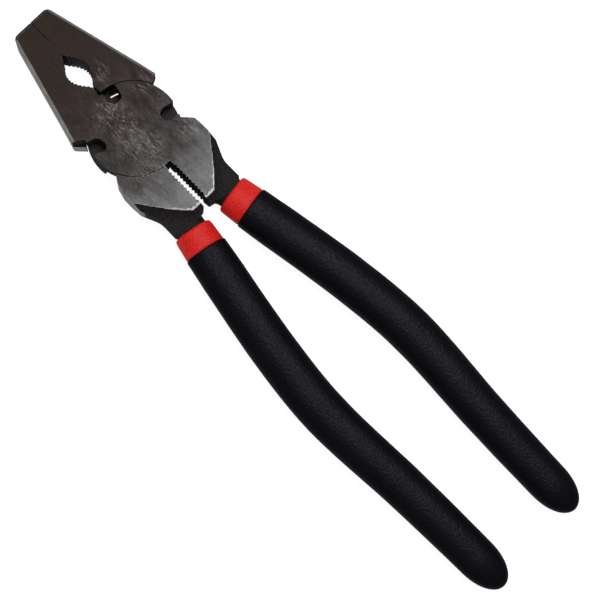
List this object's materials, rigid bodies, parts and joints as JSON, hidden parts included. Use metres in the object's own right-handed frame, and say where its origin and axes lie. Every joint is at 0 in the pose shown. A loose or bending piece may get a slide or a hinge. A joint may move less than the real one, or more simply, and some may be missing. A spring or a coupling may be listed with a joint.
{
  "type": "fencing pliers",
  "caption": "Heavy fence pliers with a lapped round joint, blunt tapered jaws, a toothed pipe grip, side wire notches and dipped vinyl handles.",
  "frame": {"origin": "on the pivot axis, at the back face of the head, where the rivet is ground flush", "axes": "+Y along the tool towards the jaw tip, +Z through the thickness towards the front face, +X to the right seen from the front"},
  "size_m": [0.058, 0.2528, 0.016],
  "materials": {
    "forged_steel": "dark oxide over ground and forged steel",
    "rivet_steel": "ground flush",
    "red_vinyl": "satin dipped vinyl",
    "black_vinyl": "pebbled matte vinyl"
  },
  "bodies": {
    "rear_half": {"lever_rear": "forged_steel", "pivot_rivet": "rivet_steel", "inner_sleeve_left": "red_vinyl", "outer_grip_left": "black_vinyl"},
    "front_half": {"lever_front": "forged_steel", "inner_sleeve_right": "red_vinyl", "outer_grip_right": "black_vinyl"}
  },
  "joints": [
    {"name": "jaw_pivot", "type": "hinge", "parent": "rear_half", "child": "front_half", "pos_m": [0, 0, 0.008], "axis": [0, 0, 1], "range_deg": [0, 40]}
  ]
}
